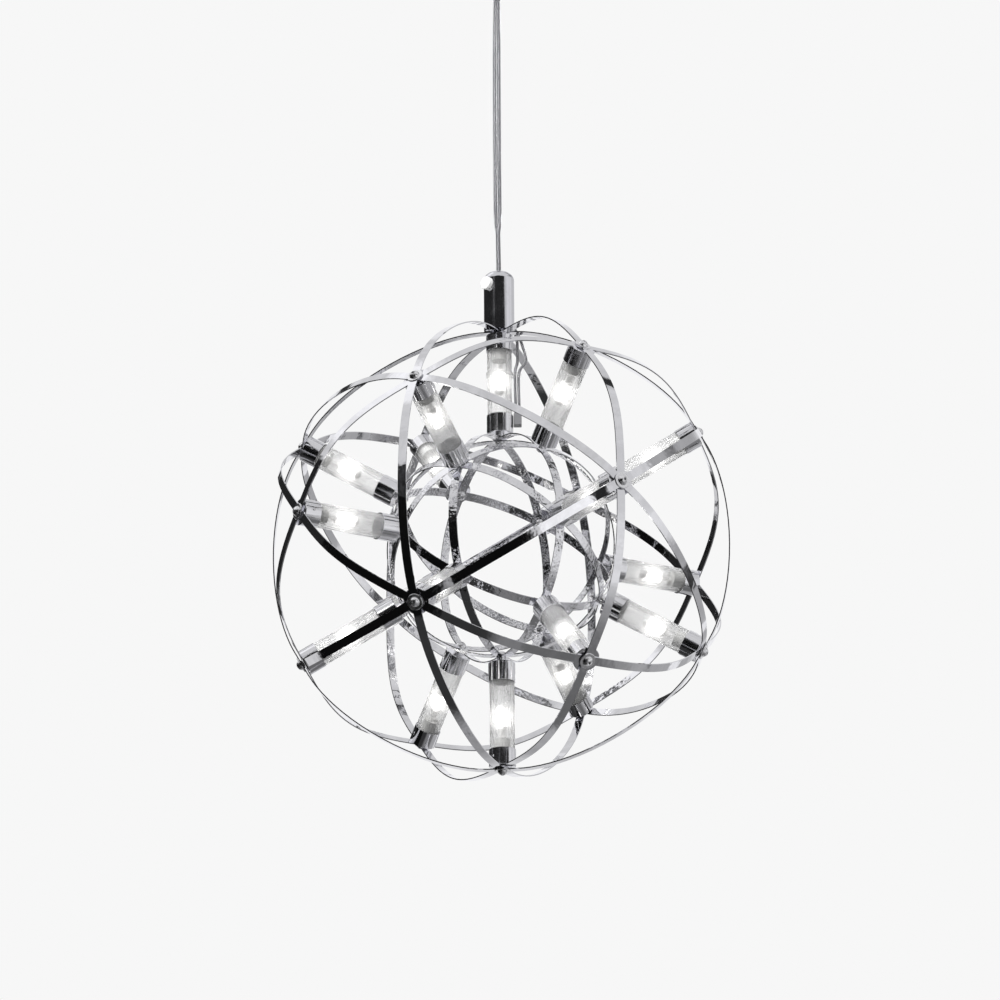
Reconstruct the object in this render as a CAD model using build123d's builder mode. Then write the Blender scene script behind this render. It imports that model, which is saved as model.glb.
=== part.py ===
# Orb chandelier: two nested spheres of crossed metal bands, joined by radial glass tubes with a
# lamp in each, hung by a flat cord from a ceiling canopy with a ball swivel.
# Millimetres, +Z up. The origin is on the ceiling, in the middle of the bracket's top face.
from build123d import *
from itertools import combinations
from math import cos, pi, radians, sin, sqrt, tan
import os

os.makedirs("parts", exist_ok=True)

# ---- driving dimensions -------------------------------------------------------------------
# The two spheres of bands
outer_d = 400.0  # over the outermost bands, at the crossings
inner_d = 200.0  # over the outermost bands of the inner sphere, at the crossings
band_w = 7.5
band_t = 1.0
outer_square_bulge = 5.5  # of the springy strip between two crossings, outwards
outer_hex_bulge = -1.5
inner_bulge = 1.0
flat_spare = 0.4  # of a band's flat, past what it carries

# What joins a tube to the bands
spacer_d = 8.0
spacer_h = 4.5  # between an inner cap and the inner bands
screw_d = 3.0
screw_head_d = 9.0
screw_head_h = 3.4
screw_key_d = 3.4  # hexagonal recess for the key, over its corners
screw_key_depth = 1.6
screw_bite = 2.0  # what a screw reaches into a cap's floor
washer_d = 14.0
washer_t = 0.8
hole_clearance = 0.2  # round a screw where it passes through
thread_clearance = 0.05  # round a screw where it bites

# Glass tubes and their caps
glass_d = 21.6
glass_wall = 2.2
cap_wall = 0.7
cap_floor = 3.0
outer_cap_h = 15.0
inner_cap_h = 17.0
cap_edge = 0.5  # chamfer on a cap's closed end
glass_fit = 0.15  # gap round the glass inside its cap
set_screw_d = 2.5
set_screw_up = 8.0  # from a cap's closed face
set_screw_proud = 0.5

# Lamp, its holder and the wire that brings the current back
holder_h = 21.0
bulb_d = 9.4
bulb_h = 29.0
bulb_neck_h = 5.0
bulb_neck_w = 6.0
bulb_neck_t = 3.0
pin_d = 0.8
pin_pitch = 4.0
pin_bare = 3.0  # what shows between the holder and the lamp
pin_deep = 5.0  # what is inside the holder
pin_fit = 0.1
return_d = 0.8
return_gap = 0.4  # from the holder on one side and the glass on the other

# Stem on the top crossing
stem_d = 27.0
stem_h = 56.5
stem_wall = 1.6
stem_dome = 7.5  # rounding of the shoulder
stem_roof = 4.0
stem_foot_h = 2.0  # the base's rim below the cup
stem_spigot_h = 3.0
stem_fit = 0.05
stem_head_d = 7.0
stem_head_h = 2.5
side_screw_drop = 13.5  # below the stem's top
side_screw_turn = -75.0  # degrees round the stem, from +X
side_screw_d = 4.0
side_head_d = 11.5
side_head_h = 4.0

# Flat twin cord and what grips its two ends
cord_w = 7.5
cord_t = 4.0
cord_free = 300.0  # between the canopy's underside and the stem's top
cord_fit = 0.1
cord_turn_gap = 0.35  # round the cord in the stem's top hole
ferrule_d = 12.0
ferrule_h = 21.0
ferrule_flange_d = 16.0
ferrule_flange_h = 3.0
ferrule_gap = 0.1  # under the stem's roof, where the stem turns
side_screw_gap = 0.4  # between the side screw's tip and the ferrule

# Clear leads from the stem down to the inner sphere
lead_d = 2.8
lead_pitch = 3.1
lead_exit_turn = 90.0
lead_tie_turn = 60.0
lead_rise_r = 9.0  # inside the stem
lead_inside = 28.0  # above the stem's underside, nearly up to the cord's ferrule
lead_slack = (22.5, 17.5)  # how far from the stem's axis each lead hangs out
port_up = 9.1  # middle of the port in the stem's side, above its underside
port_h = 8.6
port_gap = 0.4  # beside the leads
port_round = 1.5
tie_below = 37.0  # from the outer bands down to the tie
tie_w = 3.0
tie_t = 0.8
tie_gap = 0.2
terminal_h = 10.0
terminal_w = 9.0
terminal_t = 7.0
terminal_round = 1.0
terminal_recess = 0.5
terminal_gap = 0.3
terminal_above = 8.5  # its foot over the inner cap's closed face

# Ceiling fitting
canopy_d = 100.0
canopy_h = 30.0
canopy_wall = 1.2
canopy_round = 4.0
bracket_w = 22.0
bracket_t = 2.0
bracket_gap = 1.5  # between its corners and the canopy's wall
bracket_round = 4.0
slot_pitch = 44.0
slot_l = 12.0
slot_w = 4.5
stud_d = 4.0
stud_edge = 8.0  # from the bracket's ends
stud_gap = 0.2
nut_d = 8.0
nut_h = 4.5
ball_d = 22.0
ball_gap = 0.3
ball_top = 9.5  # flat above the centre
ball_foot = 8.5  # flat below the centre
seat_mouth_d = 16.0
seat_lip = 1.0
seat_flange_d = 34.0
seat_flange_h = 3.0
seat_wall = 2.5
seat_nut_h = 3.0
swivel_pin_d = 3.0
swivel_pin_l = 20.0
pin_running = 0.05
clamp_w = 11.0
clamp_t = 6.4
clamp_up = 4.0
clamp_down = 8.9
clamp_gap = 0.3  # each side, inside the ball's slot
slot_up = 7.0  # the ball's slot above its centre
cord_below_pin = 2.5
transformer_w = 16.0
transformer_h = 18.0
transformer_round = 2.0
transformer_gap = 5.0  # from the seat nut
transformer_room = 8.6  # at each end, for its wires

# ---- what follows from them ---------------------------------------------------------------
root2 = sqrt(2)
layers_at_top = 3
outer_seat = outer_d / 2 - layers_at_top * band_t  # inner face of the innermost outer band
inner_seat = inner_d / 2  # outer face of the outermost inner band
cap_r = glass_d / 2 + glass_fit + cap_wall
outer_cap_face = outer_seat
inner_cap_face = inner_seat + spacer_h
outer_floor = outer_cap_face - cap_floor
inner_floor = inner_cap_face + cap_floor
holder_d = glass_d - 2 * (glass_wall + return_d + 2 * return_gap)
canopy_z = -canopy_h
stem_top_z = canopy_z - cord_free
centre_z = stem_top_z - stem_h - outer_d / 2
centre = Vector(0, 0, centre_z)
hole_r = screw_d / 2 + hole_clearance
thread_r = screw_d / 2 + thread_clearance

# Three square axes of the spheres. Two of them lean 45 degrees, so a three-band crossing is on top.
square_axes = [Vector(1, 0, 1) / root2, Vector(-1, 0, 1) / root2, Vector(0, 1, 0)]
axis_a, axis_b, axis_c = square_axes
top_node = Vector(0, 0, 1)

# A band is a great circle, given by its normal. Three are square to the axes, four are hexagonal.
band_normals = list(square_axes)
for side_b in (1, -1):
    for side_c in (1, -1):
        band_normals.append((axis_a + axis_b * side_b + axis_c * side_c).normalized())

# Crossings: on the square axes two bands cross, and half way between two of them three do.
square_nodes = [axis * side for axis in square_axes for side in (1, -1)]
triple_nodes = []
for first, second in ((axis_a, axis_b), (axis_b, axis_c), (axis_c, axis_a)):
    for side_1 in (1, -1):
        for side_2 in (1, -1):
            triple_nodes.append((first * side_1 + second * side_2) / root2)
nodes = sorted(
    triple_nodes + square_nodes,
    key=lambda n: (-round(n.Z, 3), round(n.Y, 3), round(n.X, 3)),
)


def bands_at(node):
    """The indexes of the bands that cross at a node, from the innermost layer out."""
    return [i for i, normal in enumerate(band_normals) if abs(normal.dot(node)) < 0.01]


# A band is flat at each crossing, as far as another band, a washer or a cap lies on it.
sharpest = min(first.get_angle(second) for first, second in combinations(band_normals, 2))
crossing_reach = band_w / 2 / tan(radians(sharpest / 2))
outer_flat = max(crossing_reach, washer_d / 2, cap_r - cap_edge) + flat_spare
inner_flat = max(crossing_reach, screw_head_d / 2, spacer_d / 2) + flat_spare


def side_of(node):
    """A direction square to a node's own, which its set screw points along."""
    if abs(node.Z) > 0.99:
        return Vector(cos(radians(side_screw_turn)), sin(radians(side_screw_turn)), 0)
    return Vector(0, 0, 1).cross(node).normalized()


def frame_at(node, radius=0.0):
    """The place of a piece drawn along +Z, set on a node's axis at a radius of the sphere."""
    return Plane(origin=centre + node * radius, x_dir=side_of(node), z_dir=node).location


def at_turn(radius, turn, z):
    """A point round the upright axis, by its radius, its turn in degrees and its height."""
    return Vector(radius * cos(radians(turn)), radius * sin(radians(turn)), z)


def save(builder, name):
    builder.part.label = name
    export_step(builder.part, f"parts/{name}.step")


def band_outline(radii, flat_half, bulge):
    """A closed outline with a short flat square to each evenly spaced radius, and a curve
    tangent to both flats between each pair, which stands out from the circle by the bulge."""
    step = 2 * pi / len(radii)
    ends = []
    for i, radius in enumerate(radii):
        out = Vector(cos(i * step), sin(i * step))
        along = Vector(-sin(i * step), cos(i * step))
        ends.append((out * radius - along * flat_half, out * radius + along * flat_half, along))
    for i, (start, end, along) in enumerate(ends):
        next_start, _, next_along = ends[(i + 1) % len(ends)]
        middle = (radii[i] + radii[(i + 1) % len(ends)]) / 2
        reach = 4 / 3 * (middle * tan(step / 4) + bulge / sin(step / 2) - flat_half)
        Line(start, end)
        Bezier(end, end + along * reach, next_start - next_along * reach, next_start)


def make_band(index, name, face_radius, flat_half, bulge):
    """One closed band. face_radius gives the radius of its inner face from its layer there."""
    normal = band_normals[index]
    on_band = [n for n in nodes if abs(normal.dot(n)) < 0.01]
    first = on_band[0]
    count = len(on_band)
    ring = [first.rotate(Axis((0, 0, 0), normal), 360 / count * i) for i in range(count)]
    layers = []
    for direction in ring:
        node = min(on_band, key=lambda n: (n - direction).length)
        layers.append(bands_at(node).index(index))
    inside = [face_radius(layer) for layer in layers]
    plane = Plane(origin=centre, x_dir=first, z_dir=normal)
    with BuildPart() as band:
        with BuildSketch(plane):
            with BuildLine():
                band_outline([radius + band_t for radius in inside], flat_half, bulge)
            make_face()
            with BuildLine():
                band_outline(inside, flat_half, bulge)
            make_face(mode=Mode.SUBTRACT)
        extrude(amount=band_w / 2, both=True)
        for direction, radius in zip(ring, inside):
            with Locations(frame_at(direction, radius + band_t / 2)):
                Cylinder(hole_r, 3 * band_t, mode=Mode.SUBTRACT)
    save(band, name)
    return band


# ---- the two spheres of bands -------------------------------------------------------------
for index in range(len(band_normals)):
    outer_bulge = outer_square_bulge if index < len(square_axes) else outer_hex_bulge
    make_band(
        index, f"outer_hoop_{index + 1}", lambda layer: outer_seat + layer * band_t,
        outer_flat, outer_bulge,
    )
    make_band(
        index, f"inner_hoop_{index + 1}", lambda layer: inner_seat - (layer + 1) * band_t,
        inner_flat, inner_bulge,
    )

# ---- glass tubes --------------------------------------------------------------------------
for number, node in enumerate(nodes, 1):
    with BuildPart() as glass_tube:
        with BuildSketch(Plane(origin=centre + node * inner_floor, x_dir=side_of(node), z_dir=node)):
            Circle(glass_d / 2)
            Circle(glass_d / 2 - glass_wall, mode=Mode.SUBTRACT)
        extrude(amount=outer_floor - inner_floor)
    save(glass_tube, f"glass_tube_{number:02d}")

# ---- pieces that repeat at every node, each drawn once along +Z -----------------------------
def draw_cap(cap_h):
    """A turned cup with its closed face at z = 0 and its open end at -cap_h."""
    with BuildPart() as cap:
        with BuildSketch(Plane.XZ):
            with BuildLine():
                Polyline(
                    (thread_r, 0),
                    (cap_r - cap_edge, 0),
                    (cap_r, -cap_edge),
                    (cap_r, -cap_h),
                    (cap_r - cap_wall, -cap_h),
                    (cap_r - cap_wall, -cap_floor),
                    (thread_r, -cap_floor),
                    close=True,
                )
            make_face()
        revolve(axis=Axis.Z)
    return cap


inner_cap = draw_cap(inner_cap_h)

with BuildPart() as drilled_cap:
    add(draw_cap(outer_cap_h).part)
    with Locations(Plane(origin=(0, 0, -set_screw_up), z_dir=(1, 0, 0)).location):
        Cylinder(
            set_screw_d / 2 + thread_clearance, cap_r + 1, mode=Mode.SUBTRACT,
            align=(Align.CENTER, Align.CENTER, Align.MIN),
        )

with BuildPart() as spacer:  # stands on the inner bands
    with BuildSketch():
        Circle(spacer_d / 2)
        Circle(hole_r, mode=Mode.SUBTRACT)
    extrude(amount=spacer_h)


def draw_screw(grip):
    """A dome-headed screw with its seat at z = 0, which goes grip deep before it bites."""
    with BuildPart() as screw:
        dome_r = (screw_head_d**2 / 4 + screw_head_h**2) / 2 / screw_head_h
        with BuildSketch(Plane.XZ):
            with BuildLine():
                Polyline(
                    (0, screw_head_h), (0, -grip - screw_bite),
                    (screw_d / 2, -grip - screw_bite), (screw_d / 2, 0), (screw_head_d / 2, 0),
                )
                RadiusArc((screw_head_d / 2, 0), (0, screw_head_h), -dome_r)
            make_face()
        revolve(axis=Axis.Z)
        with BuildSketch(Plane.XY.offset(screw_head_h)):
            RegularPolygon(screw_key_d / 2, 6)
        extrude(amount=-screw_key_depth, mode=Mode.SUBTRACT)
    return screw


with BuildPart() as washer:
    with BuildSketch():
        Circle(washer_d / 2)
        Circle(hole_r, mode=Mode.SUBTRACT)
    extrude(amount=washer_t)
    chamfer(washer.faces().sort_by(Axis.Z)[-1].outer_wire().edges(), washer_t / 3)

with BuildPart() as set_screw:  # along +X from inside a cap's wall
    with BuildSketch(Plane.YZ.offset(cap_r - cap_wall)):
        with Locations((0, -set_screw_up)):
            Circle(set_screw_d / 2)
    extrude(amount=cap_wall + set_screw_proud)
    with BuildSketch(Plane.YZ.offset(cap_r + set_screw_proud)):
        with Locations((0, -set_screw_up)):
            RegularPolygon(set_screw_d / 4, 6)
    extrude(amount=-set_screw_proud, mode=Mode.SUBTRACT)

with BuildPart() as holder:  # hangs from the outer cap's floor at z = 0
    with BuildSketch():
        Circle(holder_d / 2)
    extrude(amount=-holder_h)
    with Locations((pin_pitch / 2, 0, -holder_h), (-pin_pitch / 2, 0, -holder_h)):
        Cylinder(
            pin_d / 2 + pin_fit, pin_deep + pin_fit, mode=Mode.SUBTRACT,
            align=(Align.CENTER, Align.CENTER, Align.MIN),
        )

bulb_top = -holder_h - pin_bare
with BuildPart() as bulb:
    with BuildSketch(Plane.XZ):
        with BuildLine():
            body_top = bulb_top - bulb_neck_h
            body_end = bulb_top - bulb_h
            Polyline(
                (0, body_end), (0, body_top), (bulb_neck_t / 2, body_top),
                (bulb_d / 2, body_top - bulb_d / 4), (bulb_d / 2, body_end + bulb_d / 2),
            )
            RadiusArc((bulb_d / 2, body_end + bulb_d / 2), (0, body_end), bulb_d / 2)
        make_face()
    revolve(axis=Axis.Z)
    with BuildSketch(Plane.XY.offset(bulb_top)):
        Rectangle(bulb_neck_w, bulb_neck_t)
    extrude(amount=-bulb_neck_h - bulb_d / 4)
    with Locations((pin_pitch / 2, 0, bulb_top), (-pin_pitch / 2, 0, bulb_top)):
        Cylinder(pin_d / 2, pin_bare + pin_deep, align=(Align.CENTER, Align.CENTER, Align.MIN))

return_r = holder_d / 2 + return_gap + return_d / 2
return_top = outer_floor - holder_h / 2
with BuildPart() as return_lead:  # z is the radius in the sphere
    with BuildSketch(Plane.XY.offset(inner_floor)):
        with Locations((0, return_r)):
            Circle(return_d / 2)
    extrude(amount=return_top - inner_floor)

# ---- the same pieces at their nodes ---------------------------------------------------------
with BuildPart() as outer_caps:
    for node in nodes:
        with Locations(frame_at(node, outer_cap_face)):
            add(drilled_cap.part)
save(outer_caps, "outer_caps")

with BuildPart() as cap_set_screws:
    for node in nodes:
        with Locations(frame_at(node, outer_cap_face)):
            add(set_screw.part)
save(cap_set_screws, "cap_set_screws")

with BuildPart() as inner_caps:
    for node in nodes:
        with Locations(frame_at(-node, -inner_cap_face)):
            add(inner_cap.part)
save(inner_caps, "inner_caps")

with BuildPart() as tube_spacers:
    for node in nodes:
        with Locations(frame_at(node, inner_seat)):
            add(spacer.part)
save(tube_spacers, "tube_spacers")

with BuildPart() as bulb_holders:
    for node in nodes:
        with Locations(frame_at(node, outer_floor)):
            add(holder.part)
save(bulb_holders, "bulb_holders")

with BuildPart() as bulbs:
    for node in nodes:
        with Locations(frame_at(node, outer_floor)):
            add(bulb.part)
save(bulbs, "bulbs")

with BuildPart() as return_leads:
    for node in nodes:
        with Locations(frame_at(node)):
            add(return_lead.part)
save(return_leads, "return_leads")

with BuildPart() as node_washers:
    for node in nodes:
        if node != top_node:
            outside = outer_seat + len(bands_at(node)) * band_t
            with Locations(frame_at(node, outside)):
                add(washer.part)
save(node_washers, "node_washers")

crossing_counts = sorted({len(bands_at(node)) for node in nodes})
inner_screws = {count: draw_screw(count * band_t + spacer_h) for count in crossing_counts}
outer_screws = {count: draw_screw(washer_t + count * band_t) for count in crossing_counts}
with BuildPart() as node_screws:
    for node in nodes:
        count = len(bands_at(node))
        if node != top_node:
            with Locations(frame_at(node, outer_seat + count * band_t + washer_t)):
                add(outer_screws[count].part)
        with Locations(frame_at(-node, count * band_t - inner_seat)):
            add(inner_screws[count].part)
save(node_screws, "node_screws")

# ---- stem on the top crossing ---------------------------------------------------------------
stem_foot_z = stem_top_z - stem_h
stem_rim_z = stem_foot_z + stem_foot_h
stem_roof_z = stem_top_z - stem_roof
stem_bore_r = stem_d / 2 - stem_wall
cord_hole_r = sqrt(cord_w**2 + cord_t**2) / 2 + cord_turn_gap
side_screw_z = stem_top_z - side_screw_drop

with BuildPart() as stem_cup:
    with BuildSketch(Plane.XY.offset(stem_rim_z)):
        Circle(stem_d / 2)
    extrude(amount=stem_top_z - stem_rim_z)
    fillet(stem_cup.edges().sort_by(Axis.Z)[-1], stem_dome)
    with BuildSketch(Plane.XY.offset(stem_rim_z)):
        Circle(stem_bore_r)
    extrude(amount=stem_roof_z - stem_rim_z, mode=Mode.SUBTRACT)
    fillet(stem_cup.faces().filter_by(GeomType.PLANE).filter_by_position(
        Axis.Z, stem_roof_z - 0.1, stem_roof_z + 0.1).edges(), stem_dome - stem_roof)
    with BuildSketch(Plane.XY.offset(stem_top_z)):
        Circle(cord_hole_r)
    extrude(amount=-stem_roof, mode=Mode.SUBTRACT)
    screw_side = at_turn(1, side_screw_turn, 0)
    with Locations(Plane(origin=(0, 0, side_screw_z), z_dir=screw_side).location):
        Cylinder(
            side_screw_d / 2 + thread_clearance, stem_d, mode=Mode.SUBTRACT,
            align=(Align.CENTER, Align.CENTER, Align.MIN),
        )
    port_side = at_turn(1, lead_exit_turn, 0)
    with BuildSketch(Plane(origin=(0, 0, stem_foot_z + port_up), x_dir=(0, 0, 1), z_dir=port_side)):
        RectangleRounded(port_h, lead_pitch + lead_d + 2 * port_gap, port_round)
    extrude(amount=stem_d, mode=Mode.SUBTRACT)
save(stem_cup, "stem_cup")

with BuildPart() as stem_base:
    with BuildSketch(Plane.XY.offset(stem_foot_z)):
        Circle(stem_d / 2)
    extrude(amount=stem_foot_h)
    with BuildSketch(Plane.XY.offset(stem_rim_z)):
        Circle(stem_bore_r - stem_fit)
    extrude(amount=stem_spigot_h)
    with BuildSketch(Plane.XY.offset(stem_foot_z)):
        Circle(hole_r)
    extrude(amount=stem_foot_h + stem_spigot_h, mode=Mode.SUBTRACT)
save(stem_base, "stem_base")

stem_screw_seat = stem_rim_z + stem_spigot_h
with BuildPart() as stem_screw:
    with BuildSketch(Plane.XY.offset(outer_cap_face - screw_bite + centre_z)):
        Circle(screw_d / 2)
    extrude(amount=stem_screw_seat - (outer_cap_face - screw_bite + centre_z))
    with BuildSketch(Plane.XY.offset(stem_screw_seat)):
        Circle(stem_head_d / 2)
    extrude(amount=stem_head_h)
    with BuildSketch(Plane.XY.offset(stem_screw_seat + stem_head_h)):
        RegularPolygon(screw_key_d / 2, 6)
    extrude(amount=-screw_key_depth, mode=Mode.SUBTRACT)
save(stem_screw, "stem_screw")

side_screw_plane = Plane(origin=(0, 0, side_screw_z), x_dir=(0, 0, 1), z_dir=screw_side)
side_screw_tip = ferrule_d / 2 + side_screw_gap
with BuildPart() as stem_side_screw:
    with BuildSketch(side_screw_plane.offset(side_screw_tip)):
        Circle(side_screw_d / 2)
    extrude(amount=stem_d / 2 - side_screw_tip)
    with BuildSketch(side_screw_plane.offset(stem_d / 2)):
        Circle(side_head_d / 2)
    extrude(amount=side_head_h)
    fillet(stem_side_screw.faces().sort_by(Axis((0, 0, 0), screw_side))[-1].edges(), side_head_h / 4)
save(stem_side_screw, "stem_side_screw")

# ---- cord, its ferrule in the stem and its clamp in the ball ----------------------------------
seat_bore_r = ball_d / 2 + ball_gap
seat_bottom_z = canopy_z - seat_flange_h
seat_mouth_z = seat_bottom_z + seat_lip
ball_z = seat_mouth_z + sqrt(seat_bore_r**2 - seat_mouth_d**2 / 4)
ferrule_top_z = stem_roof_z - ferrule_gap
ferrule_foot_z = ferrule_top_z - ferrule_h
cord_top_z = ball_z - cord_below_pin
pin_place = Plane(origin=(0, 0, ball_z), z_dir=(0, 1, 0)).location

with BuildPart() as cord_ferrule:
    with BuildSketch(Plane.XY.offset(ferrule_foot_z)):
        Circle(ferrule_d / 2)
    extrude(amount=ferrule_h)
    with BuildSketch(Plane.XY.offset(ferrule_top_z)):
        Circle(ferrule_flange_d / 2)
    extrude(amount=-ferrule_flange_h)
    with BuildSketch(Plane.XY.offset(ferrule_foot_z)):
        SlotOverall(cord_w + 2 * cord_fit, cord_t + 2 * cord_fit)
    extrude(amount=ferrule_h, mode=Mode.SUBTRACT)
save(cord_ferrule, "cord_ferrule")

with BuildPart() as suspension_cord:
    with BuildSketch(Plane.XY.offset(ferrule_foot_z)):
        SlotOverall(cord_w, cord_t)
    extrude(amount=cord_top_z - ferrule_foot_z)
save(suspension_cord, "suspension_cord")

with BuildPart() as cord_clamp:
    with BuildSketch(Plane.XY.offset(ball_z - clamp_down)):
        Rectangle(clamp_w, clamp_t)
    extrude(amount=clamp_down + clamp_up)
    fillet(cord_clamp.edges().filter_by(Axis.Y), clamp_up / 3)
    with BuildSketch(Plane.XY.offset(ball_z - clamp_down)):
        SlotOverall(cord_w + 2 * cord_fit, cord_t + 2 * cord_fit)
    extrude(amount=clamp_down - cord_below_pin, mode=Mode.SUBTRACT)
    with Locations(pin_place):
        Cylinder(swivel_pin_d / 2 + pin_running, 2 * clamp_t, mode=Mode.SUBTRACT)
save(cord_clamp, "cord_clamp")

# ---- leads from the stem to the inner sphere ---------------------------------------------------
tie_z = centre_z + outer_seat - tie_below
terminal_r = cap_r + terminal_gap + terminal_t / 2
terminal_foot_z = centre_z + inner_cap_face + terminal_above
terminal_top_z = terminal_foot_z + terminal_h
tie_ring_r = glass_d / 2 + tie_gap + tie_t
tie_loop_r = lead_pitch / 2 + lead_d / 2 + tie_gap
tie_lead_r = tie_ring_r + tie_loop_r
lead_top_z = stem_foot_z + lead_inside
lead_bend_z = centre_z + outer_seat

feed_paths = []
for side, slack in zip((-1, 1), lead_slack):
    across = at_turn(side * lead_pitch / 2, lead_exit_turn + 90, 0)
    beside = at_turn(-side * lead_pitch / 2, lead_tie_turn, 0)
    feed_paths.append(
        [
            at_turn(lead_rise_r, lead_exit_turn, lead_top_z) + across,
            at_turn(lead_rise_r, lead_exit_turn, stem_foot_z + 13) + across,
            at_turn(lead_rise_r + 10, lead_exit_turn, stem_foot_z + 1) + across,
            at_turn(slack, lead_exit_turn - 14, lead_bend_z - 14) + across,
            at_turn(slack, lead_tie_turn + 4, tie_z + 12) + beside,
            at_turn(tie_lead_r, lead_tie_turn, tie_z + 5) + beside,
            at_turn(tie_lead_r, lead_tie_turn, tie_z - 12) + beside,
            at_turn(terminal_r, lead_tie_turn, terminal_top_z + 9) + beside,
            at_turn(terminal_r, lead_tie_turn, terminal_top_z) + beside,
        ]
    )


def corner_radii(points):
    """For each corner the largest arc that leaves a tenth of its shorter run straight."""
    radii = []
    for before, here, after in zip(points, points[1:], points[2:]):
        turn = radians((here - before).get_angle(after - here))
        radii.append(0.45 * min((here - before).length, (after - here).length) / tan(turn / 2))
    return radii


with BuildPart() as feed_leads:
    for points in feed_paths:
        radii = corner_radii(points)
        with BuildLine() as lead_line:
            FilletPolyline(*points, radius=radii)
        with BuildSketch(Plane(origin=points[0], z_dir=points[1] - points[0])):
            Circle(lead_d / 2)
        sweep(path=lead_line.wires()[0])
        length = sum(edge.length for edge in lead_line.edges())
        print("feed lead", round(length, 1), "mm, radii", [round(r, 1) for r in radii])
save(feed_leads, "feed_leads")
print("feed leads volume", round(feed_leads.part.volume, 1))

with BuildPart() as feed_terminal:
    terminal_side = at_turn(1, lead_tie_turn, 0)
    terminal_plane = Plane(
        origin=at_turn(terminal_r, lead_tie_turn, terminal_foot_z), x_dir=terminal_side, z_dir=(0, 0, 1)
    )
    with BuildSketch(terminal_plane):
        RectangleRounded(terminal_t, terminal_w, terminal_round)
    extrude(amount=terminal_h)
    with Locations(Plane(origin=at_turn(terminal_r + terminal_t / 2, lead_tie_turn,
                                        terminal_foot_z + terminal_h / 2),
                         z_dir=terminal_side).location):
        Cylinder(screw_d / 2, 2 * terminal_recess, mode=Mode.SUBTRACT)
save(feed_terminal, "feed_terminal")

with BuildPart() as lead_tie:
    with BuildSketch(Plane.XY.offset(tie_z - tie_w / 2)):
        Circle(tie_ring_r)
        loop_centre = at_turn(tie_lead_r, lead_tie_turn, 0)
        with Locations((loop_centre.X, loop_centre.Y)):
            Circle(tie_loop_r + tie_t)
            Circle(tie_loop_r, mode=Mode.SUBTRACT)
        Circle(tie_ring_r - tie_t, mode=Mode.SUBTRACT)
    extrude(amount=tie_w)
save(lead_tie, "lead_tie")

# ---- ceiling fitting -----------------------------------------------------------------------------
canopy_inside_r = canopy_d / 2 - canopy_wall
bracket_l = 2 * (sqrt(canopy_inside_r**2 - bracket_w**2 / 4) - bracket_gap)
stud_pitch = bracket_l - 2 * stud_edge
transformer_y = seat_flange_d / 2 + transformer_gap + transformer_w / 2
transformer_end = sqrt(canopy_inside_r**2 - (transformer_y + transformer_w / 2) ** 2)
transformer_l = 2 * (transformer_end - transformer_room)

with BuildPart() as swivel_ball:
    with Locations((0, 0, ball_z)):
        Sphere(ball_d / 2)
        Box(2 * ball_d, clamp_t + 2 * clamp_gap, 2 * slot_up, mode=Mode.SUBTRACT)
    split(bisect_by=Plane.XY.offset(ball_z + ball_top), keep=Keep.BOTTOM)
    split(bisect_by=Plane.XY.offset(ball_z - ball_foot), keep=Keep.TOP)
    with BuildSketch(Plane.XY.offset(ball_z)):
        Rectangle(2 * ball_d, clamp_t + 2 * clamp_gap)
    extrude(amount=-ball_d, mode=Mode.SUBTRACT)
    with Locations(pin_place):
        Cylinder(swivel_pin_d / 2 + pin_running, 2 * ball_d, mode=Mode.SUBTRACT)
save(swivel_ball, "swivel_ball")

with BuildPart() as swivel_pin:
    with Locations(pin_place):
        Cylinder(swivel_pin_d / 2, swivel_pin_l)
save(swivel_pin, "swivel_pin")

seat_spigot_r = seat_bore_r + seat_wall
with BuildPart() as swivel_seat:
    with BuildSketch(Plane.XY.offset(seat_bottom_z)):
        Circle(seat_flange_d / 2)
    extrude(amount=seat_flange_h)
    with BuildSketch(Plane.XY.offset(canopy_z)):
        Circle(seat_spigot_r)
    extrude(amount=ball_z - canopy_z)
    fillet(swivel_seat.edges().sort_by(Axis.Z)[0], seat_lip)
    with Locations((0, 0, ball_z)):
        Sphere(seat_bore_r, mode=Mode.SUBTRACT)
    with BuildSketch(Plane.XY.offset(seat_bottom_z)):
        Circle(seat_mouth_d / 2)
    extrude(amount=seat_lip, mode=Mode.SUBTRACT)
save(swivel_seat, "swivel_seat")

with BuildPart() as canopy:
    with BuildSketch(Plane.XY.offset(canopy_z)):
        Circle(canopy_d / 2)
    extrude(amount=canopy_h)
    fillet(canopy.edges().sort_by(Axis.Z)[0], canopy_round)
    offset(amount=-canopy_wall, openings=canopy.faces().sort_by(Axis.Z)[-1])
    with BuildSketch(Plane.XY.offset(canopy_z)):
        Circle(seat_spigot_r + stud_gap)
        with GridLocations(stud_pitch, 0, 2, 1):
            Circle(stud_d / 2 + stud_gap)
    extrude(amount=canopy_wall, mode=Mode.SUBTRACT)
save(canopy, "canopy")

canopy_floor_z = canopy_z + canopy_wall
with BuildPart() as seat_nut:
    with BuildSketch(Plane.XY.offset(canopy_floor_z)):
        RegularPolygon(seat_flange_d / 2, 6)
        Circle(seat_spigot_r + thread_clearance, mode=Mode.SUBTRACT)
    extrude(amount=min(seat_nut_h, ball_z - canopy_floor_z))
save(seat_nut, "seat_nut")

with BuildPart() as ceiling_bracket:
    with BuildSketch(Plane.XY.offset(-bracket_t)):
        RectangleRounded(bracket_l, bracket_w, bracket_round)
        with GridLocations(slot_pitch, 0, 2, 1):
            SlotOverall(slot_l, slot_w, mode=Mode.SUBTRACT)
        with GridLocations(stud_pitch, 0, 2, 1):
            Circle(stud_d / 2 + thread_clearance, mode=Mode.SUBTRACT)
    extrude(amount=bracket_t)
save(ceiling_bracket, "ceiling_bracket")

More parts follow.
